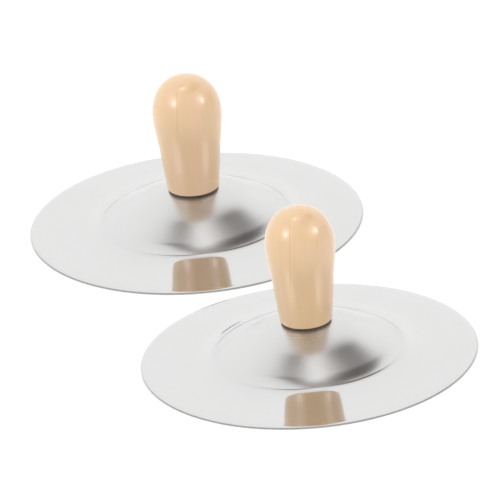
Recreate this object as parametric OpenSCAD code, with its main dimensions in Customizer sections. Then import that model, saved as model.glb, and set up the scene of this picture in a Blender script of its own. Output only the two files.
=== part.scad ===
// A pair of hand cymbals: two thin spun metal plates, each with a turned
// wooden knob handle held from inside the bell by one machine screw.
// Both cymbals rest mouth down. The origin lies midway between them on the
// plane they rest on. +Z is up, +Y runs from the front cymbal to the rear one.
// The left cymbal is the rear one, the right cymbal the front one.
// Name endings: _r radius, _d diameter, _a angle, _w width, _h height,
// _l length, _t thickness, _z height in the frame.

/* [Pair] */
// Sideways distance between the two handle axes
pair_dx = 45.3; // [40:0.1:60]
// Front to back distance between the two handle axes
pair_dy = 151.6; // [150:0.2:170]
// How far the right cymbal is turned about its own handle axis
right_turn = 25; // [0:1:90]

/* [Plate] */
// Radius of the plate at its rim
plate_r = 75; // [74.6:0.1:75.4]
// Thickness of the sheet
sheet_t = 0.8; // [0.6:0.05:0.9]
// Radius of the flat seat at the top of the bell
seat_r = 8.6; // [8.4:0.1:9.2]
// Radius where the shoulder below the seat ends
shoulder_r = 13.5; // [12:0.5:15]
// Fall angle at the end of the shoulder
shoulder_a = 15; // [13:0.5:17]
// Radius where the straight flank of the bell starts
flank_r = 27; // [24:0.5:29]
// Fall angle where the straight flank of the bell starts
flank_a = 26; // [25.5:0.5:27]
// Radius where the straight flank of the bell ends
flank_end_r = 37; // [35:0.5:38]
// Fall angle where the straight flank of the bell ends
flank_end_a = 25.3; // [24:0.1:25.4]
// Radius where the bell is steepest, just above its foot
steep_r = 42.2; // [41.5:0.1:42.4]
// Steepest fall angle of the bell
steep_a = 42; // [38:0.5:44]
// Radius of the tight crease at the foot of the bell
crease_r = 42.9; // [42.6:0.1:43.6]
// Fall angle at the crease
crease_a = 22.5; // [20:0.5:28]
// Radius where the foot starts to flatten out
foot_r = 44.9; // [44.4:0.1:46]
// Fall angle where the foot starts to flatten out
foot_a = 17.2; // [14:0.2:19]
// Radius of the sweep from the foot into the bow
sweep_r = 48.8; // [47:0.2:50]
// Fall angle in the sweep
sweep_a = 8.4; // [7:0.2:10]
// Radius where the bow starts
bow_r = 54.8; // [53:0.2:58]
// Fall angle where the bow starts
bow_a = 2.8; // [2.2:0.1:4]
// Radius at half way over the bow
bow_mid_r = 64; // [61:0.5:68]
// Fall angle at half way over the bow, where it is flattest
bow_mid_a = 1.8; // [1:0.1:2]
// Fall angle of the bow next to the lip
bow_end_a = 2.6; // [2.2:0.1:4.5]
// Width of the turned-down lip at the rim
lip_w = 2.7; // [2:0.1:4]
// Fall angle of the lip at the rim
lip_a = 13; // [10:0.5:18]
// Width of the flat ring that the rim rests on
rest_w = 0.7; // [0.5:0.05:1]
// Diameter of the hole for the screw
plate_hole_d = 5.5; // [5.3:0.1:6]

/* [Handle] */
// Height of the wooden handle
handle_h = 54.4; // [52:0.2:58]
// Diameter of the handle where its bottom edge rounding ends
handle_base_d = 23.6; // [23:0.2:26]
// Largest diameter of the knob
knob_d = 31.4; // [29:0.2:34]
// Height of the largest diameter above the bottom of the handle
knob_z = 36.5; // [34:0.5:39]
// Height where the straight grip starts to flare into the knob
flare_z = 20; // [16:0.5:24]
// Growth of the grip's radius per millimetre of height
grip_taper = 0.108; // [0.09:0.002:0.12]
// Fullness of the knob's rounded end, where 2 is an ellipse
knob_fullness = 2.15; // [2:0.05:2.4]
// Radius of the rounded bottom edge
base_round = 0.8; // [0.6:0.1:2]
// Diameter of the hole drilled for the insert
insert_hole_d = 8.04; // [8.02:0.02:8.2]
// Depth of the hole drilled for the insert
insert_hole_l = 13.5; // [13:0.5:16]

/* [Cushion washers] */
// Thickness of the thin washer between plate and handle
upper_t = 0.5; // [0.4:0.1:1]
// Diameter of the thin washer between plate and handle
upper_d = 20.4; // [18:0.2:21]
// Thickness of the rubber washer under the seat
lower_t = 1.5; // [1:0.1:2]
// Diameter of the rubber washer under the seat
lower_d = 16.4; // [15.6:0.2:16.8]
// Hole in both cushion washers
cushion_hole_d = 5.5; // [5.3:0.1:6]

/* [Fasteners] */
// Diameter of the plain shank that stands for the screw thread
shank_d = 4.8; // [4.6:0.1:4.9]
// Length of the screw below its head
screw_l = 16; // [15:0.5:17]
// Diameter of the pan head
head_d = 9.5; // [9:0.1:10]
// Height of the pan head
head_h = 3.7; // [3.4:0.1:4]
// Width of the cross recess from tip to tip
recess_w = 5; // [4:0.1:5.4]
// Depth of the cross recess
recess_depth = 2.2; // [1.6:0.1:2.4]
// Outside diameter of the flat washer
flat_washer_d = 15; // [12:0.5:15]
// Thickness of the flat washer
flat_washer_t = 1.2; // [1:0.1:1.4]
// Outside diameter of the spring lock washer
lock_washer_d = 9.2; // [8.8:0.1:9.4]
// Thickness of the spring lock washer
lock_washer_t = 1.2; // [1:0.1:1.4]
// Outside diameter of the threaded insert
insert_d = 8; // [7.6:0.05:8]
// Length of the threaded insert
insert_l = 12; // [11:0.5:12.5]
// Bore of the threaded insert
insert_bore_d = 5; // [4.95:0.05:5.2]

/* [Hidden] */
$fn = 128;

steel = [0.80, 0.80, 0.79];
zinc = [0.72, 0.73, 0.75];
wood = [0.90, 0.76, 0.58];
brass = [0.80, 0.64, 0.30];
leather = [0.16, 0.11, 0.08];
rubber = [0.10, 0.10, 0.10];

// ---- Plate section ----
// The upper side is a chain of arcs, one from each station to the next. Along
// an arc the sine of the fall angle grows evenly with radius.
// Columns: radius, fall angle, steps in the arc that starts here
stations = [
    [seat_r, 0, 4],
    [shoulder_r, shoulder_a, 5],
    [flank_r, flank_a, 2],
    [flank_end_r, flank_end_a, 6],
    [steep_r, steep_a, 4],
    [crease_r, crease_a, 3],
    [foot_r, foot_a, 4],
    [sweep_r, sweep_a, 4],
    [bow_r, bow_a, 2],
    [bow_mid_r, bow_mid_a, 2],
    [plate_r - lip_w, bow_end_a, 5],
    [plate_r, lip_a, 0]];
arc_count = len(stations) - 1;
rim_break = 0.15;  // small break on the sharp edge of the rim
rest_gap = 0.6;    // least width between the rest ring and the next underside point

// Signed radius of curvature of arc i, negative where the fall eases off
function arc_r(i) = (stations[i + 1][0] - stations[i][0])
                  / (sin(stations[i + 1][1]) - sin(stations[i][1]));
// Height of the point of arc i with the given fall angle, relative to station i
function arc_rise(i, angle) = arc_r(i) * (cos(angle) - cos(stations[i][1]));
// Height of station i relative to the seat
function station_z(i) = i == 0 ? 0 : station_z(i - 1) + arc_rise(i - 1, stations[i][1]);

// Heights up and down the stack at the handle axis
seat_z = sheet_t - station_z(arc_count);  // upper side of the seat
seat_under_z = seat_z - sheet_t;          // lower side of the seat
handle_z = seat_z + upper_t;              // bottom of the handle
lower_z = seat_under_z - lower_t;         // lower side of the rubber washer
flat_z = lower_z - flat_washer_t;         // lower side of the flat washer
lock_z = flat_z - lock_washer_t;          // lower side of the lock washer

// Upper side of the plate, from the seat to the rim: [radius, height, fall angle]
upper_side = [
    for (i = [0 : arc_count - 1], k = [0 : stations[i][2] - 1])
        let (start = stations[i],
             angle = start[1] + (stations[i + 1][1] - start[1]) * k / start[2])
        [start[0] + arc_r(i) * (sin(angle) - sin(start[1])),
         seat_z + station_z(i) + arc_rise(i, angle),
         angle]];

plate_section = concat(
    [[plate_hole_d / 2, seat_z]],
    [for (point = upper_side) [point[0], point[1]]],
    [[plate_r - rim_break, sheet_t + rim_break * tan(lip_a)],
     [plate_r, sheet_t - rim_break],
     [plate_r, 0],
     [plate_r - rest_w, 0]],
    [for (j = [len(upper_side) - 1 : -1 : 0])
        let (point = upper_side[j])
        if (point[0] < plate_r - rest_w - rest_gap)
            [point[0], point[1] - sheet_t / cos(point[2])]],
    [[plate_hole_d / 2, seat_under_z]]);

// Thin spun plate with a bell, a slightly falling bow and a turned-down lip
module plate() {
    color(steel) rotate_extrude() polygon(plate_section);
}

// ---- Handle ----
round_steps = 5;
flare_steps = 9;
knob_steps = 20;
countersink_d = insert_hole_d + 1.2;
countersink_depth = 0.6;
flare_start_r = handle_base_d / 2 + grip_taper * (flare_z - base_round);

// Radius of the flare for t from 0 to 1: a cubic that leaves the grip along
// its taper and meets the knob upright
function flare_r(t) = (2 * t * t * t - 3 * t * t + 1) * flare_start_r
                    + (t * t * t - 2 * t * t + t) * (knob_z - flare_z) * grip_taper
                    + (3 * t * t - 2 * t * t * t) * knob_d / 2;
// Point of the knob's rounded end, a superellipse
function knob_point(angle) = [
    knob_d / 2 * pow(cos(angle), 2 / knob_fullness),
    knob_z + (handle_h - knob_z) * pow(sin(angle), 2 / knob_fullness)];

// Rounded bottom edge, straight taper, smooth flare, rounded knob
handle_section = concat(
    [[0, 0]],
    [for (k = [0 : round_steps])
        let (angle = 90 * k / round_steps)
        [handle_base_d / 2 - base_round * (1 - sin(angle)), base_round * (1 - cos(angle))]],
    [for (k = [0 : flare_steps - 1])
        let (t = k / flare_steps)
        [flare_r(t), flare_z + (knob_z - flare_z) * t]],
    [for (k = [0 : knob_steps - 1]) knob_point(90 * k / knob_steps)],
    [[0, handle_h]]);

// Turned knob handle with a countersunk blind hole in its bottom
module handle() {
    color(wood) translate([0, 0, handle_z]) difference() {
        rotate_extrude() polygon(handle_section);
        translate([0, 0, -1]) cylinder(d = insert_hole_d, h = insert_hole_l + 1);
        translate([0, 0, -0.01])
            cylinder(d1 = countersink_d, d2 = insert_hole_d, h = countersink_depth);
    }
}

// ---- Threaded insert ----
barbs = 5;
barb_pitch = insert_l / barbs;
barb_rise = 0.5;      // height from the foot of a barb to its widest point
barb_foot_cut = 0.1;  // how far the foot lies inside the widest point
barb_top_cut = 0.5;   // how far the top lies inside the widest point
barb_gap = 0.2;       // height between one barb and the next
insert_tip_cut = 0.7;
insert_chamfer = 0.4;
insert_inset = 0.5;   // height of the insert above the handle's bottom

// Barbed brass insert, pressed into the handle from below
module threaded_insert() {
    outer_r = insert_d / 2;
    bore_r = insert_bore_d / 2;
    color(brass) translate([0, 0, handle_z + insert_inset]) rotate_extrude() polygon(concat(
        [[bore_r + insert_chamfer, 0]],
        [for (k = [0 : barbs - 1]) each [
            [outer_r - barb_foot_cut, k * barb_pitch],
            [outer_r, k * barb_pitch + barb_rise],
            [outer_r - barb_top_cut, (k + 1) * barb_pitch - barb_gap]]],
        [[outer_r - insert_tip_cut, insert_l], [bore_r, insert_l], [bore_r, insert_chamfer]]));
}

// ---- Washers ----
flat_clearance = 0.5;  // added to the shank diameter
lock_clearance = 0.3;  // added to the shank diameter
lock_gap_w = 0.6;
lock_gap_a = 25;       // slant of the cut, from upright

// Ring with broken outer edges, its lower face at z
module ring(outer_d, inner_d, t, z, bevel) {
    outer_r = outer_d / 2;
    inner_r = inner_d / 2;
    translate([0, 0, z]) rotate_extrude() polygon([
        [inner_r, 0], [outer_r - bevel, 0], [outer_r, bevel],
        [outer_r, t - bevel], [outer_r - bevel, t], [inner_r, t]]);
}

// Thin dark washer between the bell and the handle
module upper_cushion() {
    color(leather) ring(upper_d, cushion_hole_d, upper_t, z = seat_z, bevel = 0.1);
}

// Rubber washer under the seat
module lower_cushion() {
    color(rubber) ring(lower_d, cushion_hole_d, lower_t, z = lower_z, bevel = 0.25);
}

// Flat steel washer that spreads the load of the screw
module flat_washer() {
    color(zinc)
        ring(flat_washer_d, shank_d + flat_clearance, flat_washer_t, z = flat_z, bevel = 0.15);
}

// Spring lock washer, cut through at a slant on its +Y side
module lock_washer() {
    color(zinc) difference() {
        ring(lock_washer_d, shank_d + lock_clearance, lock_washer_t, z = lock_z, bevel = 0.1);
        translate([0, lock_washer_d / 2, lock_z + lock_washer_t / 2])
            rotate([0, lock_gap_a, 0])
                cube([lock_gap_w, lock_washer_d, lock_washer_t * 3], center = true);
    }
}

// ---- Screw ----
dome_steps = 6;
dome_inner = 0.45;  // where the dome's curve starts, as a share of the head radius
dome_end = 0.5;     // height of the head left beside the dome
head_break = 0.15;
tip_chamfer = 0.8;
bar_w = 1.1;        // width of one bar of the recess, and of its floor's flat
bar_overcut = 0.5;  // how far a bar reaches out of the head
bar_flare = 0.2;    // widening of a bar at each side, at its mouth
bar_narrowing = 0.9;
bar_floor_h = 0.5;  // height of the sloping part of the floor

// One bar of the cross recess, narrowing towards its floor
module recess_bar() {
    mouth_x = recess_w / 2 + bar_flare;
    wall_x = recess_w / 2 - bar_narrowing;
    wall_y = recess_depth - bar_floor_h;
    rotate([90, 0, 0]) linear_extrude(height = bar_w, center = true) polygon([
        [-mouth_x, -bar_overcut], [mouth_x, -bar_overcut], [wall_x, wall_y],
        [bar_w / 2, recess_depth], [-bar_w / 2, recess_depth], [-wall_x, wall_y]]);
}

// Pan head machine screw with a cross recess, its head inside the bell
module screw() {
    head_r = head_d / 2;
    shank_r = shank_d / 2;
    color(zinc) translate([0, 0, lock_z]) difference() {
        rotate_extrude() polygon(concat(
            [[0, -head_h]],
            [for (k = [1 : dome_steps])
                let (angle = 90 * k / dome_steps)
                [head_r * (dome_inner + (1 - dome_inner) * sin(angle)),
                 -head_h + (head_h - dome_end) * (1 - cos(angle))]],
            [[head_r, -head_break], [head_r - head_break, 0],
             [shank_r, 0], [shank_r, screw_l - tip_chamfer],
             [shank_r - tip_chamfer, screw_l], [0, screw_l]]));
        translate([0, 0, -head_h]) {
            recess_bar();
            rotate([0, 0, 90]) recess_bar();
        }
    }
}

// ---- Nodes ----
module at_left() {
    translate([-pair_dx / 2, pair_dy / 2, 0]) children();
}
module at_right() {
    translate([pair_dx / 2, -pair_dy / 2, 0]) rotate([0, 0, right_turn]) children();
}

module left_plate() { at_left() plate(); }
module left_handle() { at_left() handle(); }
module left_threaded_insert() { at_left() threaded_insert(); }
module left_upper_cushion() { at_left() upper_cushion(); }
module left_lower_cushion() { at_left() lower_cushion(); }
module left_flat_washer() { at_left() flat_washer(); }
module left_lock_washer() { at_left() lock_washer(); }
module left_screw() { at_left() screw(); }
module right_plate() { at_right() plate(); }
module right_handle() { at_right() handle(); }
module right_threaded_insert() { at_right() threaded_insert(); }
module right_upper_cushion() { at_right() upper_cushion(); }
module right_lower_cushion() { at_right() lower_cushion(); }
module right_flat_washer() { at_right() flat_washer(); }
module right_lock_washer() { at_right() lock_washer(); }
module right_screw() { at_right() screw(); }

left_plate();
left_handle();
left_threaded_insert();
left_upper_cushion();
left_lower_cushion();
left_flat_washer();
left_lock_washer();
left_screw();
right_plate();
right_handle();
right_threaded_insert();
right_upper_cushion();
right_lower_cushion();
right_flat_washer();
right_lock_washer();
right_screw();
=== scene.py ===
"""A pair of cymbals, each a spun steel plate with a turned wooden handle, in a white studio.

Each cymbal lies rim down with its axis along Z and its handle pointing up; the floor is z = 0
and the camera looks along +Y and down. Sections and sizes are in mm and become metres in the
meshes; lengths inside shaders, lights and world are in metres.
"""
import math

import bpy
import numpy as np
from mathutils import Matrix, Vector


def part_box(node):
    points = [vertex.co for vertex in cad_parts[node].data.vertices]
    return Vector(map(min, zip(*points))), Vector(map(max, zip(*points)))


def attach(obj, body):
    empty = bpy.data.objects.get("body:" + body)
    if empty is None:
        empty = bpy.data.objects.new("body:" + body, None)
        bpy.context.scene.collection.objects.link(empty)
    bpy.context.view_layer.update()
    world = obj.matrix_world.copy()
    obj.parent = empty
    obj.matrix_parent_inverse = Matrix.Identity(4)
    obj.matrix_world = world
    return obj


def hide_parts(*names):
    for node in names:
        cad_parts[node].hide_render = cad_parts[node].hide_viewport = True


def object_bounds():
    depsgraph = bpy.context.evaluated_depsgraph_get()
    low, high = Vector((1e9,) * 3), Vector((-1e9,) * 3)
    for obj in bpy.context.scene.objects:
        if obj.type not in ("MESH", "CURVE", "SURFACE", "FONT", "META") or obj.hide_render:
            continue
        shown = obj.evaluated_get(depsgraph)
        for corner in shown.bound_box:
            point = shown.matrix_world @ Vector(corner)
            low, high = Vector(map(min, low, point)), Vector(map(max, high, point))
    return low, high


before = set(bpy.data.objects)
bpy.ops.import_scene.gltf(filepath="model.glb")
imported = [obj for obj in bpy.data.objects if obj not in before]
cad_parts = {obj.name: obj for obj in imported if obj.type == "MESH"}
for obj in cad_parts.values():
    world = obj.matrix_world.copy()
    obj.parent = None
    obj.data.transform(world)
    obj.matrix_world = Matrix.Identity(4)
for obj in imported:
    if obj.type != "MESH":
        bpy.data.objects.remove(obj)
cad_lo, cad_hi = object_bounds()

MM = 0.001

# ---------------------------------------------------------------- plate, in mm
PLATE_R = 75.0
SHEET_T = 0.8
REST_W = 0.7         # width of the flat ring under the rim
HOLE_R = 2.75
RIM_FALL = 13.0      # fall angle of the sheet at the rim, degrees
EDGE_ROUND = 0.15    # rounding of the rim's upper edge
LOWER_BREAK = (0.08, 0.12)  # bevel of the rim's lower edge: inward, upward
UNDER_MARGIN = 0.5   # gap between the rest ring and the first point of the under side
PLATE_SEGS = 384
# The upper side is a chain of circular arcs between stations: (radius, fall angle in degrees)
STATIONS = [
    (8.6, 0.0), (13.5, 15.0), (27.0, 26.0), (37.0, 25.3), (42.2, 42.0), (42.9, 22.5),
    (44.9, 17.2), (48.8, 8.4), (54.8, 2.8), (64.0, 1.8), (72.3, 2.6), (PLATE_R, RIM_FALL),
]
ARC_STEPS = (8, 14, 12, 16, 12, 10, 10, 10, 8, 8, 12)  # steps in each arc

# ---------------------------------------------------------------- handle, in mm above its foot
HANDLE_H = 54.4
FOOT_R = 11.8
FOOT_ROUND = 0.8
FLARE_Z = 20.0       # the straight taper ends and the flare begins
TAPER = 0.108        # radius gained per mm of height
KNOB_R = 15.7
KNOB_Z = 36.5        # height of the widest place
KNOB_POWER = 2.15    # superellipse power of the knob's top; 2 would be an ellipse
SOCKET_R = 4.02      # hole for the threaded insert
SOCKET_L = 13.5
SOCKET_BEVEL = 0.6
HANDLE_SEGS = 224

SHARP_ANGLE = 32     # section corners above this many degrees stay sharp


def sind(angle):
    return math.sin(math.radians(angle))


def cosd(angle):
    return math.cos(math.radians(angle))


# ---------------------------------------------------------------- sections, as (radius, height)
def crown_points():
    """Upper side of the plate as (radius, height above the rim's top edge, fall angle)."""
    points, z = [], 0.0
    for (r0, a0), (r1, a1), steps in zip(STATIONS[:-1], STATIONS[1:], ARC_STEPS):
        bend = (r1 - r0) / (sind(a1) - sind(a0))
        for k in range(steps):
            a = a0 + (a1 - a0) * k / steps
            points.append((r0 + bend * (sind(a) - sind(a0)), z + bend * (cosd(a) - cosd(a0)), a))
        z += bend * (cosd(a1) - cosd(a0))
    points.append((PLATE_R, z, RIM_FALL))
    return [(r, height - z, a) for r, height, a in points]


def plate_section():
    """Closed section of the sheet, and a material for each segment: 0 top, 1 under, 2 edge."""
    crown = crown_points()
    crown_z = crown[0][1]
    section = [(HOLE_R, crown_z + SHEET_T)]
    section += [(r, z + SHEET_T) for r, z, _ in crown[:-1]]
    top_end = len(section)
    for k in range(7):
        a = 90 * k / 6
        slope = EDGE_ROUND * math.tan(math.radians(RIM_FALL)) * (1 - sind(a))
        section.append((PLATE_R - EDGE_ROUND + EDGE_ROUND * sind(a),
                        SHEET_T - EDGE_ROUND + EDGE_ROUND * cosd(a) + slope))
    break_in, break_up = LOWER_BREAK
    section += [(PLATE_R, break_up), (PLATE_R - break_in, 0.0), (PLATE_R - REST_W, 0.0)]
    edge_end = len(section)
    section += [(r, z + SHEET_T - SHEET_T / cosd(a)) for r, z, a in reversed(crown)
                if r < PLATE_R - REST_W - UNDER_MARGIN]
    section.append((HOLE_R, crown_z))
    mats = ([0] * (top_end + 1) + [2] * (edge_end - top_end - 2)
            + [1] * (len(section) - edge_end) + [2])
    return section, mats


def handle_section(foot_z):
    """Open section from the socket's floor, round the foot and up to the top of the knob."""
    points = [(0.0, SOCKET_L), (SOCKET_R, SOCKET_L), (SOCKET_R, SOCKET_BEVEL),
              (SOCKET_R + SOCKET_BEVEL, 0.0)]
    for k in range(11):  # rounded foot
        a = 90 * k / 10
        points.append((FOOT_R - FOOT_ROUND * (1 - sind(a)), FOOT_ROUND * (1 - cosd(a))))
    flare_r = FOOT_R + TAPER * (FLARE_Z - FOOT_ROUND)
    for k in range(1, 10):  # straight taper
        t = k / 10
        points.append((FOOT_R + (flare_r - FOOT_R) * t, FOOT_ROUND + (FLARE_Z - FOOT_ROUND) * t))
    for k in range(24):  # flare, a cubic that leaves along the taper and arrives upright
        t = k / 24
        r = ((2 * t**3 - 3 * t**2 + 1) * flare_r
             + (t**3 - 2 * t**2 + t) * (KNOB_Z - FLARE_Z) * TAPER
             + (3 * t**2 - 2 * t**3) * KNOB_R)
        points.append((r, FLARE_Z + (KNOB_Z - FLARE_Z) * t))
    for k in range(60):  # top of the knob
        a = 90 * k / 60
        points.append((KNOB_R * cosd(a) ** (2 / KNOB_POWER),
                       KNOB_Z + (HANDLE_H - KNOB_Z) * sind(a) ** (2 / KNOB_POWER)))
    points.append((0.0, HANDLE_H))
    return [(r, foot_z + z) for r, z in points]


# ---------------------------------------------------------------- mesh building
def lathe_faces(section, rows, segs, closed, mats):
    """Faces between neighbouring rows, facing outward, and the material index of each."""
    n = len(section)
    faces, face_mats = [], []
    for i in range(n if closed else n - 1):
        (a, a_count), (b, b_count) = rows[i], rows[(i + 1) % n]
        for k in range(segs):
            k2 = (k + 1) % segs
            if a_count == 1:
                faces.append((a, b + k2, b + k))
            elif b_count == 1:
                faces.append((a + k, a + k2, b))
            else:
                faces.append((a + k, a + k2, b + k2, b + k))
            face_mats.append(mats[i] if mats else 0)
    # the section's turning sense says which way round the faces go
    turning = 0.0
    for (r0, z0), (r1, z1) in zip(section, section[1:] + section[:1]):
        turning += r0 * z1 - r1 * z0
    if turning < 0:
        faces = [tuple(reversed(face)) for face in faces]
    return faces, face_mats


def sharp_rows(section, closed):
    n = len(section)
    found = []
    for i in range(n) if closed else range(1, n - 1):
        before, here, after = section[i - 1], section[i], section[(i + 1) % n]
        a1 = math.atan2(here[1] - before[1], here[0] - before[0])
        a2 = math.atan2(after[1] - here[1], after[0] - here[0])
        corner = abs((a2 - a1 + math.pi) % (2 * math.pi) - math.pi)
        if math.degrees(corner) > SHARP_ANGLE:
            found.append(i)
    return found


def lathe(name, section, segs, closed=False, mats=None, shape=None):
    """A body turned about Z. An open section starts and ends on the axis. mats gives a material
    index for each segment of the section; shape may move the array of points, in mm."""
    angle = 2 * math.pi * np.arange(segs) / segs
    verts, rows = [], []  # a row is (first vertex, vertex count)
    for r, z in section:
        if r < 1e-7:
            rows.append((len(verts), 1))
            verts.append((0.0, 0.0, z))
        else:
            rows.append((len(verts), segs))
            verts.extend(zip(r * np.cos(angle), r * np.sin(angle), [z] * segs))
    verts = np.array(verts, float)
    if shape is not None:
        verts = shape(verts)
    faces, face_mats = lathe_faces(section, rows, segs, closed, mats)
    mesh = bpy.data.meshes.new(name)
    mesh.from_pydata([tuple(v * MM) for v in verts], [], faces)
    mesh.validate()
    mesh.polygons.foreach_set("material_index", face_mats)
    mesh.polygons.foreach_set("use_smooth", [True] * len(mesh.polygons))

    attribute = mesh.attributes.new("sharp_edge", "BOOLEAN", "EDGE")
    row_of = np.repeat(np.arange(len(rows)), [count for _, count in rows])
    edge_verts = np.zeros(len(mesh.edges) * 2, int)
    mesh.edges.foreach_get("vertices", edge_verts)
    start_row, end_row = row_of[edge_verts.reshape(-1, 2)].T
    sharp = (start_row == end_row) & np.isin(start_row, sharp_rows(section, closed))
    attribute.data.foreach_set("value", sharp.tolist())
    mesh.update()
    return link_object(name, mesh)


def link_object(name, data):
    ob = bpy.data.objects.new(name, data)
    bpy.context.scene.collection.objects.link(ob)
    return ob


def spun_waves(seed):
    """Spun sheet isn't perfectly true: waves of a few hundredths of a mm outside the bell."""
    rng = np.random.RandomState(seed)
    waves = []
    for count in (2, 3, 4, 5, 7):  # waves round the plate
        phase = rng.uniform(0, 2 * math.pi)
        height = rng.uniform(0.010, 0.028) / (count / 2.0)
        drift = rng.uniform(0.04, 0.09)
        drift_phase = rng.uniform(0, 6.28)
        waves.append((count, phase, height, drift, drift_phase))

    def shape(verts):
        r = np.hypot(verts[:, 0], verts[:, 1])
        angle = np.arctan2(verts[:, 1], verts[:, 0])
        # the waves fade in from 46 to 54 mm and out from 68.4 to 74.4 mm
        weight = np.clip((r - 46) / 8, 0, 1) * np.clip((74.4 - r) / 6, 0, 1)
        weight = weight * weight * (3 - 2 * weight)
        lift = np.zeros(len(verts))
        for count, phase, height, drift, drift_phase in waves:
            lift += height * np.sin(count * angle + phase + 0.4 * np.sin(drift * r + drift_phase))
        verts = verts.copy()
        verts[:, 2] += lift * weight
        return verts
    return shape


# ---------------------------------------------------------------- node helpers
def add_node(tree, kind, inputs, **settings):
    """A node with its settings, and its inputs given as numbers, colours, sockets or Values."""
    node = tree.nodes.new(kind)
    for key, setting in settings.items():
        setattr(node, key, setting)
    for key, value in inputs.items():
        if isinstance(value, Value):
            value = value.socket
        if isinstance(value, bpy.types.NodeSocket):
            tree.links.new(value, node.inputs[key])
        else:
            node.inputs[key].default_value = value
    return node


class Value:
    """A socket with arithmetic, so that a node graph reads like a formula."""

    def __init__(self, tree, socket):
        self.tree, self.socket = tree, socket

    def op(self, kind, *others, clamp=False):
        inputs = dict(enumerate((self,) + others))
        node = add_node(self.tree, "ShaderNodeMath", inputs, operation=kind, use_clamp=clamp)
        return Value(self.tree, node.outputs[0])

    def __add__(self, other): return self.op("ADD", other)
    def __radd__(self, other): return self.op("ADD", other)
    def __sub__(self, other): return self.op("SUBTRACT", other)
    def __rsub__(self, other): return (self * -1.0) + other
    def __mul__(self, other): return self.op("MULTIPLY", other)
    def __truediv__(self, other): return self.op("DIVIDE", other)
    def sq(self): return self.op("MULTIPLY", self)
    def sqrt(self): return self.op("SQRT")
    def clamp(self): return self.op("ADD", 0.0, clamp=True)

    def rise(self, lo, hi, start=0.0, end=1.0):
        """A smooth step from start, where this value is lo, to end, where it is hi."""
        node = add_node(self.tree, "ShaderNodeMapRange",
                        {"Value": self, "From Min": lo, "From Max": hi,
                         "To Min": start, "To Max": end}, interpolation_type="SMOOTHSTEP")
        return Value(self.tree, node.outputs["Result"])

    def fall(self, lo, hi):
        return self.rise(lo, hi, start=1.0, end=0.0)

    def gauss(self, mid, width):
        return ((self - mid) / width).sq().op("MULTIPLY", -0.5).op("EXPONENT")


class Graph:
    """A node tree, emptied, with short names for the nodes used here."""

    def __init__(self, tree):
        self.tree = tree
        tree.nodes.clear()

    def node(self, kind, inputs=None, **settings):
        return add_node(self.tree, kind, inputs or {}, **settings)

    def value(self, socket):
        return Value(self.tree, socket)

    def coords(self, kind="Object"):
        return self.node("ShaderNodeTexCoord").outputs[kind]

    def light_path(self, name):
        return self.value(self.node("ShaderNodeLightPath").outputs[name])

    def split(self, vec):
        outputs = self.node("ShaderNodeSeparateXYZ", {0: vec}).outputs
        return [self.value(outputs[i]) for i in range(3)]

    def join(self, x, y, z):
        return self.node("ShaderNodeCombineXYZ", {0: x, 1: y, 2: z}).outputs[0]

    def noise(self, vec=None, w=None, scale=1.0, detail=2.0, rough=0.5):
        inputs = {"Scale": scale, "Detail": detail, "Roughness": rough}
        if vec is not None:
            inputs["Vector"] = vec
        if w is not None:
            inputs["W"] = w
        dimensions = "1D" if vec is None else ("3D" if w is None else "4D")
        node = self.node("ShaderNodeTexNoise", inputs, noise_dimensions=dimensions)
        return self.value(node.outputs[0])

    def mix(self, factor, a, b):
        a, b = (c + (1.0,) if isinstance(c, tuple) else c for c in (a, b))
        return self.node("ShaderNodeMix", {0: factor, 6: a, 7: b}, data_type="RGBA").outputs[2]

    def bump(self, height, distance, below=None):
        inputs = {"Strength": 1.0, "Distance": distance, "Height": height}
        if below is not None:
            inputs["Normal"] = below
        return self.node("ShaderNodeBump", inputs).outputs[0]

    def principled(self, inputs):
        return self.node("ShaderNodeBsdfPrincipled", inputs).outputs[0]

    def transparent(self):
        return self.node("ShaderNodeBsdfTransparent").outputs[0]

    def mix_shader(self, factor, a, b):
        return self.node("ShaderNodeMixShader", {0: factor, 1: a, 2: b}).outputs[0]

    def surface(self, shader):
        self.node("ShaderNodeOutputMaterial", {"Surface": shader})


def new_material(name):
    mat = bpy.data.materials.new(name)
    mat.use_nodes = True
    return mat, Graph(mat.node_tree)


def radius(x, y):
    return (x.sq() + y.sq()).sqrt()


def surface_alone(g, shader, x, y, once=True):
    """Each cymbal is lit as if it stood alone: a mirror ray that starts outside this cymbal's
    rim passes through. With once, so does a ray that has already met a mirror.
    x and y are measured from the cymbal's axis."""
    path = g.node("ShaderNodeLightPath").outputs
    geometry = g.node("ShaderNodeNewGeometry")
    incoming = g.node("ShaderNodeVectorTransform", {0: geometry.outputs["Incoming"]},
                      vector_type="VECTOR", convert_from="WORLD", convert_to="OBJECT")
    back_x, back_y, _ = g.split(incoming.outputs[0])
    length = g.value(path["Ray Length"])
    hide = radius(x + back_x * length, y + back_y * length).rise(0.0757, 0.0761)
    if once:
        hide = hide.op("MAXIMUM", g.value(path["Ray Depth"]).rise(1.4, 1.6))
    hide = hide * g.value(path["Is Glossy Ray"])
    g.surface(g.mix_shader(hide, shader, g.transparent()))


def spun_surface(g, inputs, x, y):
    """Steel whose highlights are drawn out by rings round the axis."""
    tangent = g.node("ShaderNodeTangent", direction_type="RADIAL", axis="Z").outputs[0]
    surface_alone(g, g.principled({**inputs, "Tangent": tangent}), x, y, once=False)


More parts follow.
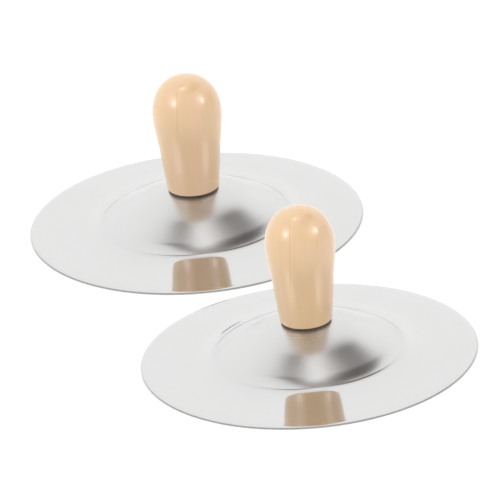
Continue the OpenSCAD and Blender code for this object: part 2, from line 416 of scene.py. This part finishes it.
# ---------------------------------------------------------------- materials
def steel_top():
    """Mirror-polished sheet: very fine rings, a few hairlines, faint smudges."""
    mat, g = new_material("polished_steel_top")
    co = g.coords()
    x, y, _ = g.split(co)
    r = radius(x, y)
    rings = g.noise(w=r * 1000.0, scale=5.0, detail=3.0, rough=0.6)
    broad = g.noise(w=r * 1000.0, scale=0.22, detail=1.0)
    cloud = g.noise(co, scale=22.0, detail=3.0, rough=0.55)
    hair = 0.0
    for turn, seed in ((0.5, 3.1), (1.9, 7.7), (2.7, 12.3)):  # hairline directions, radians
        u = x * math.cos(turn) + y * math.sin(turn)
        v = y * math.cos(turn) - x * math.sin(turn)
        line = g.noise(g.join(u * 30.0, v * 2600.0, seed), detail=0.0).rise(0.79, 0.84)
        patch = g.noise(g.join(u * 60.0, v * 60.0, seed + 5.0), detail=1.0).rise(0.56, 0.66)
        hair = line * patch + hair
    # the bell is harder to polish, so it stays hazier, most of all near its crown
    bell = r.fall(0.0430, 0.0458)
    haze = r.rise(0.016, 0.030, start=0.05, end=0.0) + 0.165
    rough = 0.045 + rings * 0.02 + cloud.rise(0.52, 0.72) * 0.022 + hair * 0.05 + bell * haze
    tint = g.mix(cloud.rise(0.3, 0.75) * 0.5 + broad * 0.3,
                 (0.590, 0.590, 0.592), (0.572, 0.572, 0.573))
    bump = g.bump(broad, distance=0.0000030)
    bump = g.bump(rings, distance=0.00000010, below=bump)
    bump = g.bump(hair, distance=-0.0000004, below=bump)
    spun_surface(g, {"Base Color": tint, "Metallic": 0.97, "Roughness": rough,
                     "Anisotropic": 0.35, "Normal": bump}, x, y)
    return mat


def steel_under():
    """The hidden side, as it left the spinning lathe: less polished, with clear tool rings."""
    mat, g = new_material("polished_steel_under")
    co = g.coords()
    x, y, _ = g.split(co)
    r = radius(x, y)
    rings = g.noise(w=r * 1000.0, scale=2.4, detail=4.0, rough=0.7)
    broad = g.noise(w=r * 1000.0, scale=0.35, detail=1.0)
    cloud = g.noise(co, scale=30.0, detail=4.0, rough=0.6)
    rough = 0.16 + rings * 0.10 + cloud.rise(0.45, 0.7) * 0.06
    tint = g.mix(rings * 0.6 + cloud * 0.3, (0.62, 0.615, 0.607), (0.50, 0.495, 0.488))
    bump = g.bump(broad, distance=0.000008)
    bump = g.bump(rings, distance=0.0000012, below=bump)
    spun_surface(g, {"Base Color": tint, "Metallic": 1.0, "Roughness": rough,
                     "Anisotropic": 0.6, "Normal": bump}, x, y)
    return mat


def steel_edge():
    """The trimmed edge of the sheet: duller, and darker partly as cut steel is and partly as
    painted shade for the dark line along the rim, with burnished high spots.
    """
    mat, g = new_material("polished_steel_edge")
    co = g.coords()
    x, y, _ = g.split(co)
    grain = g.noise(co, scale=900.0, detail=3.0, rough=0.6)
    # dark grey tint: partly the cut edge's own colour, partly painted shade
    tint = g.mix(grain, (0.24, 0.24, 0.238), (0.40, 0.398, 0.392))
    shader = g.principled({"Base Color": tint, "Metallic": 1.0, "Roughness": grain * 0.15 + 0.30,
                           "Normal": g.bump(grain, distance=0.00002)})
    surface_alone(g, shader, x, y, once=False)
    return mat


def wood(seed, turn, foot_z):
    """Pale close-grained hardwood turned along the grain, under a clear lacquer. turn swings the
    tree's rings about Z; foot_z is the height of the handle's foot in metres."""
    mat, g = new_material("lacquered_wood_%d" % seed)
    co = g.coords()
    x, y, z = g.split(co)
    u = x * math.cos(turn) + y * math.sin(turn)
    v = y * math.cos(turn) - x * math.sin(turn)

    def grain(offset, across, along, detail, rough=0.5):
        """Noise with its own scales across the grain and along it; offset picks the pattern."""
        return g.noise(g.join(u * across, v * across, z * along), w=seed + offset,
                       detail=detail, rough=rough)

    bend = grain(0.0, across=6.0, along=9.0, detail=2.0)
    wander = grain(4.0, across=25.0, along=5.0, detail=2.0)
    # distance in mm from the heart of the tree, which lies 55 mm off the axis
    depth = ((u + 0.055).sq() + (v * 1.1).sq()).sqrt() * 1000.0 + bend * 5.0 + wander * 1.6
    ring = g.noise(w=depth, scale=0.42, detail=2.5, rough=0.55)
    late = g.noise(w=depth + 40.0, scale=1.15, detail=1.0, rough=0.5).rise(0.50, 0.74)
    fibre = grain(9.0, across=1700.0, along=55.0, detail=2.0, rough=0.6)
    fleck = grain(2.0, across=2600.0, along=260.0, detail=0.0).rise(0.70, 0.80)
    blotch = g.noise(co, w=seed + 1.0, scale=38.0, detail=2.0)
    pale = (0.661, 0.463, 0.285)
    warm = (0.604, 0.405, 0.240)
    deep = (0.494, 0.314, 0.171)
    color = g.mix((ring - 0.5) * 0.55 + 0.38, pale, warm)
    color = g.mix(late * 0.14, color, deep)
    color = g.mix((fibre - 0.35) * 0.24, color, warm)
    color = g.mix(fleck * 0.08, color, deep)
    color = g.mix((blotch - 0.35) * 0.35, color, (0.668, 0.452, 0.295))
    # soft broad stripes along the grain, a little yellower or a little pinker
    stripe = grain(12.0, across=150.0, along=7.0, detail=1.0)
    color = g.mix(stripe.rise(0.42, 0.62) * 0.45, color, (0.648, 0.456, 0.247))
    color = g.mix(stripe.fall(0.36, 0.52) * 0.45, color, (0.673, 0.452, 0.318))
    # one fine dark line up the -Y and +Y sides of the knob, leaning towards +X, in mm
    seam_x = x * 1000.0 + 5.0 + (bend - 0.5) * 1.6 - (z - 0.055) * 77.0
    seam = seam_x.gauss(mid=0.0, width=0.17) * z.rise(0.030, 0.046)
    color = g.mix(seam * z.fall(0.069, 0.072) * (fibre * 0.5 + 0.22), color, deep)
    # the knob's top is mixed a little towards a deeper brown
    color = g.mix(z.rise(0.055, 0.074) * 0.16, color, (0.567, 0.342, 0.166))
    # downward faces get painted shade, a near-black brown; only a little of it is the end grain's
    # own darker tone
    normal_z = g.split(g.coords("Normal"))[2]
    color = g.mix(normal_z.fall(-0.99, -0.90) * 0.80, color, (0.115, 0.062, 0.028))
    # in the bell's mirror, the foot of the handle is in shade
    mirrored = g.light_path("Is Glossy Ray")
    shade = (z - foot_z).rise(0.0007, 0.0030, start=0.74, end=0.0) * mirrored
    color = g.mix(shade, color, (0.150, 0.080, 0.036))
    ripple = grain(6.0, across=160.0, along=60.0, detail=2.0)
    coat_bump = g.bump(ripple, distance=0.000035)
    coat_bump = g.bump(fibre, distance=0.0000015, below=coat_bump)
    shader = g.principled({
        "Base Color": color,
        "Roughness": 0.40 + fibre * 0.12,
        "Normal": g.bump(fibre, distance=0.000006),
        "Specular IOR Level": 0.35,
        "Coat Weight": 1.0,
        "Coat Roughness": ripple * 0.10 + 0.165 + mirrored * 0.12,
        "Coat IOR": 1.56,
        "Coat Tint": (1.0, 0.99, 0.97, 1.0),
        "Coat Normal": coat_bump,
        "Subsurface Weight": 0.06,
        "Subsurface Radius": (0.0018, 0.0011, 0.0006),
        "Subsurface Scale": 1.0})
    surface_alone(g, shader, x, y)
    return mat


def leather(side, axis):
    """Dark leather: small pebbled cells under a fine fuzz."""
    mat, g = new_material("dark_leather_" + side)
    co = g.coords()
    x, y, _ = g.split(co)
    cells = g.node("ShaderNodeTexVoronoi", {"Vector": co, "Scale": 1500.0}, feature="SMOOTH_F1")
    cell = g.value(cells.outputs["Distance"])
    fuzz = g.noise(co, scale=5000.0, detail=3.0, rough=0.7)
    tint = g.mix(cell * 0.8 + fuzz * 0.3, (0.040, 0.020, 0.010), (0.105, 0.055, 0.028))
    bump = g.bump(cell, distance=0.00008)
    bump = g.bump(fuzz, distance=0.00003, below=bump)
    shader = g.principled({"Base Color": tint, "Roughness": fuzz * 0.2 + 0.62, "Normal": bump,
                           "Sheen Weight": 0.2})
    surface_alone(g, shader, x - axis[0], y - axis[1])
    return mat


def rubber():
    """Black rubber with a little dust."""
    mat, g = new_material("black_rubber")
    co = g.coords()
    fine = g.noise(co, scale=2600.0, detail=4.0, rough=0.65)
    dust = g.noise(co, scale=420.0, detail=3.0, rough=0.6).rise(0.5, 0.75)
    tint = g.mix(dust * 0.5, (0.018, 0.018, 0.019), (0.060, 0.058, 0.055))
    g.surface(g.principled({"Base Color": tint, "Roughness": fine * 0.2 + 0.5,
                            "Normal": g.bump(fine, distance=0.00003),
                            "Specular IOR Level": 0.4}))
    return mat


def zinc(name, base, min_rough, seed, axis=None):
    """Bright zinc plating: cloudy, with fine tumbling marks and darker spots."""
    mat, g = new_material(name)
    co = g.coords()
    cloud = g.noise(co, w=seed, scale=260.0, detail=4.0, rough=0.65)
    fine = g.noise(co, w=seed + 3.0, scale=2400.0, detail=2.0, rough=0.6)
    spot = g.noise(co, w=seed + 7.0, scale=900.0, detail=1.0).rise(0.66, 0.76)
    tint = g.mix(cloud, base, tuple(c * 0.82 for c in base))
    tint = g.mix(spot * 0.5, tint, tuple(c * 0.6 for c in base))
    bump = g.bump(fine, distance=0.000012)
    bump = g.bump(cloud, distance=0.00002, below=bump)
    shader = g.principled({"Base Color": tint, "Metallic": 1.0, "Normal": bump,
                           "Roughness": cloud * 0.14 + fine * 0.08 + min_rough})
    if axis is None:
        g.surface(shader)
    else:
        x, y, _ = g.split(co)
        surface_alone(g, shader, x - axis[0], y - axis[1])
    return mat


def brass(side, axis):
    """Brass with turning marks along its height."""
    mat, g = new_material("insert_brass_" + side)
    co = g.coords()
    x, y, z = g.split(co)
    turned = g.noise(w=z * 1000.0, scale=6.0, detail=3.0)
    cloud = g.noise(co, scale=300.0, detail=3.0)
    tint = g.mix(cloud, (0.80, 0.60, 0.26), (0.62, 0.43, 0.17))
    shader = g.principled({"Base Color": tint, "Metallic": 1.0, "Roughness": turned * 0.12 + 0.2,
                           "Normal": g.bump(turned, distance=0.000004)})
    surface_alone(g, shader, x - axis[0], y - axis[1])
    return mat


def floor_paper():
    """White paper, faintly glowing and see-through from below. A mirror sees it evenly lit,
    without the other cymbal's shade on it."""
    mat, g = new_material("floor_paper")
    tooth = g.noise(g.coords(), scale=900.0, detail=3.0, rough=0.6)
    tint = g.mix(tooth, (0.90, 0.90, 0.895), (0.93, 0.93, 0.925))
    paper = g.principled({"Base Color": tint, "Roughness": 0.9, "Specular IOR Level": 0.1,
                          "Emission Color": (1, 1, 1, 1), "Emission Strength": 0.09})
    glow = g.node("ShaderNodeVectorMath", {0: tint, "Scale": 1.30}, operation="SCALE")
    plain = g.node("ShaderNodeEmission", {"Color": glow.outputs[0]})
    even = g.mix_shader(g.light_path("Is Glossy Ray"), paper, plain.outputs[0])
    backfacing = g.node("ShaderNodeNewGeometry").outputs["Backfacing"]
    g.surface(g.mix_shader(backfacing, even, g.transparent()))
    return mat


# ---------------------------------------------------------------- the two cymbals
steel_mats = (steel_top(), steel_under(), steel_edge())
rubber_mat = rubber()
washer_mat = zinc("zinc_steel", base=(0.74, 0.75, 0.78), min_rough=0.20, seed=1.0)
spring_mat = zinc("zinc_steel_spring", base=(0.62, 0.62, 0.64), min_rough=0.26, seed=5.0)


def place_piece(piece, place, side, node):
    piece.matrix_world = place
    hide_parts(side + node)
    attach(piece, side + "_cymbal")


def build_cymbal(side, grain_turn, seed):
    lo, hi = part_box(side + "_plate")
    axis = ((lo.x + hi.x) / 2, (lo.y + hi.y) / 2)
    place = Matrix.Translation((*axis, lo.z))
    handle_lo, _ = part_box(side + "_handle")
    foot_z = (handle_lo.z - lo.z) / MM

    section, mats = plate_section()
    plate = lathe(side + "_polished_plate", section, PLATE_SEGS, closed=True, mats=mats,
                  shape=spun_waves(seed))
    for mat in steel_mats:
        plate.data.materials.append(mat)
    place_piece(plate, place, side, "_plate")

    handle = lathe(side + "_turned_handle", handle_section(foot_z), HANDLE_SEGS)
    handle.data.materials.append(wood(seed, grain_turn, foot_z * MM))
    place_piece(handle, place, side, "_handle")

    fittings = {
        "_threaded_insert": brass(side, axis),
        "_upper_cushion": leather(side, axis),
        "_lower_cushion": rubber_mat,
        "_flat_washer": washer_mat,
        "_lock_washer": spring_mat,
        "_screw": zinc("screw_steel_" + side, base=(0.76, 0.77, 0.79), min_rough=0.14, seed=9.0,
                       axis=axis),
    }
    for node, mat in fittings.items():
        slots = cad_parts[side + node].data.materials
        slots.clear()
        slots.append(mat)


build_cymbal("left", grain_turn=0.6, seed=11)
build_cymbal("right", grain_turn=math.radians(25) + 2.1, seed=29)


# ---------------------------------------------------------------- floor, a disc of 4 m radius
def build_floor(segs=96, size=4.0):
    angles = [2 * math.pi * k / segs for k in range(segs)]
    ring = [(size * math.cos(a), size * math.sin(a), 0) for a in angles]
    mesh = bpy.data.meshes.new("floor")
    mesh.from_pydata([(0, 0, 0)] + ring, [],
                     [(0, 1 + k, 1 + (k + 1) % segs) for k in range(segs)])
    floor = link_object("floor", mesh)
    mesh.materials.append(floor_paper())


build_floor()


# ---------------------------------------------------------------- studio
def build_world():
    """A white tent with darker gaps near its top; the camera itself sees plain white."""
    world = bpy.data.worlds.new("studio")
    bpy.context.scene.world = world
    world.use_nodes = True
    g = Graph(world.node_tree)
    dx, dy, dz = g.split(g.coords("Generated"))
    # degrees: 0 at the +Y horizon, 90 overhead, 180 at the -Y horizon
    phi = dz.op("ARCTAN2", dy) * (180 / math.pi)
    # cloth, a little dimmer overhead and at the far horizon
    level = 1.30 + dx.rise(-0.2, 0.5) * 0.02 - phi.rise(40.0, 86.0) * 0.04
    level = level * (1.0 - phi.fall(2.0, 17.0) * 0.10)
    shoulder = dx.gauss(mid=-0.28, width=0.11) * phi.rise(48.0, 70.0) * 0.09
    # dark opening: a left and a right edge, a lower edge that dips at the right, and a strip
    # of pale cloth hanging down its middle
    lean_left = (phi.rise(72.0, 86.0, end=0.07), phi.rise(90.0, 108.0, end=0.14))
    edge_left = (dx - lean_left[0] - lean_left[1]).rise(-0.34, -0.25)
    edge_right = (dx + phi.rise(84.0, 104.0, end=0.20)).fall(0.58, 0.71)
    edge_low = (phi + dx.gauss(mid=0.45, width=0.125) * 21.0).rise(68.0, 76.0)
    cloth = dx.gauss(mid=0.045, width=0.080) * phi.rise(84.0, 104.0, start=1.25, end=0.12)
    depth = dx.rise(-0.10, 0.16, start=0.94, end=0.72) + dx.rise(0.12, 0.36, end=0.20)
    depth = depth * phi.rise(88.0, 102.0, start=1.0, end=0.84) - cloth
    gap = edge_left * edge_right * edge_low * phi.fall(108.0, 122.0) * depth
    dark = (gap + shoulder).clamp()
    open_front = phi.rise(112.0, 136.0)
    # two bright boxes on the near side, left and right, and a faint strip overhead
    boxes = (dx.gauss(mid=-0.69, width=0.10) * phi.gauss(mid=132.0, width=14.0) * 3.6
             + dx.gauss(mid=0.74, width=0.09) * phi.gauss(mid=128.0, width=14.0) * 3.6)
    boxes = boxes + dx.gauss(mid=0.05, width=0.055) * phi.gauss(mid=81.0, width=8.0) * 0.45
    # dimmer at the far right and far left, and below the horizon
    sides = 1.0 - dx.rise(0.72, 0.95) * 0.50 - dx.fall(-0.96, -0.78) * 0.10
    radiance = level * sides * (1.0 - dark) * (1.0 - open_front * 0.30) + boxes
    radiance = radiance * dz.rise(-0.25, 0.0, start=0.80, end=1.0)
    camera_ray = g.light_path("Is Camera Ray")
    warmth = (gap * (1.0 - camera_ray) * 1.6).clamp()
    background = g.node("ShaderNodeBackground", {
        "Color": g.mix(warmth, (1.0, 0.998, 0.992), (1.0, 0.900, 0.840)),
        "Strength": radiance * (1.0 - camera_ray) + camera_ray * 1.0})
    g.node("ShaderNodeOutputWorld", {"Surface": background.outputs[0]})


build_world()

LAMP_DISTANCE = 1.6               # metres from the aim point
LAMP_AIM = Vector((0, 0, 0.05))
# name, direction from the aim point, diameter in metres, radiance
LAMPS = [
    ("lamp_top", (-0.128, 0.049, 0.991), 0.34, 7.5),
    ("lamp_left", (-0.693, -0.515, 0.504), 0.38, 7.5),
    ("lamp_right", (0.828, -0.300, 0.473), 0.38, 8.0),
]

# the lamps are kept off the mirror plates and the floor
lit = bpy.data.collections.new("lit_by_lamps")
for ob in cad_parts.values():
    if not ob.name.endswith("_plate"):
        lit.objects.link(ob)
for side in ("left", "right"):
    lit.objects.link(bpy.data.objects[side + "_turned_handle"])

for name, direction, size, radiance in LAMPS:
    direction = Vector(direction).normalized()
    light = bpy.data.lights.new(name, "AREA")
    light.shape = "DISK"
    light.size = size
    light.energy = radiance * math.pi * math.pi * (size / 2) ** 2
    lamp = link_object(name, light)
    lamp.location = direction * LAMP_DISTANCE + LAMP_AIM
    lamp.rotation_mode = "QUATERNION"
    lamp.rotation_quaternion = direction.to_track_quat("Z", "Y")
    lamp.visible_camera = False
    lamp.light_linking.receiver_collection = lit

# ---------------------------------------------------------------- camera
ELEVATION, ROLL = math.radians(24.7), math.radians(4.85)
VIEW_W = 224.014337               # width of the view at the target, mm
SHIFT_RIGHT, SHIFT_UP = -1.1200717, 17.204301  # target from the anchor, in the view's plane, mm

level_right = Vector((1, 0, 0))
level_up = Vector((0, math.sin(ELEVATION), math.cos(ELEVATION)))
forward = Vector((0, math.cos(ELEVATION), -math.sin(ELEVATION)))
cam_right = math.cos(ROLL) * level_right - math.sin(ROLL) * level_up
cam_up = math.sin(ROLL) * level_right + math.cos(ROLL) * level_up
middle = (cad_lo + cad_hi) / 2
anchor = Vector((middle.x, middle.y, cad_lo.z + SHEET_T * MM))
target = anchor + cam_right * (SHIFT_RIGHT * MM) + cam_up * (SHIFT_UP * MM)

camera_data = bpy.data.cameras.new("camera")
camera_data.sensor_width = 36.0
camera_data.lens = 1600.0
camera_data.clip_start, camera_data.clip_end = 0.1, 50.0
distance = VIEW_W * MM * camera_data.lens / camera_data.sensor_width
facing = Matrix((cam_right, cam_up, -forward)).transposed().to_4x4()
camera = link_object("camera", camera_data)
camera.matrix_world = Matrix.Translation(target - forward * distance) @ facing

# ---------------------------------------------------------------- render settings
scene = bpy.context.scene
scene.camera = camera
scene.view_settings.view_transform = "Standard"
scene.view_settings.look = "None"
scene.view_settings.exposure = 0.0
scene.view_settings.gamma = 1.0
scene.cycles.use_denoising = True
scene.cycles.max_bounces = 12
scene.cycles.glossy_bounces = 8
scene.cycles.diffuse_bounces = 4
scene.cycles.transparent_max_bounces = 48
scene.cycles.sample_clamp_indirect = 6.0
scene.cycles.caustics_reflective = True
scene.cycles.blur_glossy = 0.4
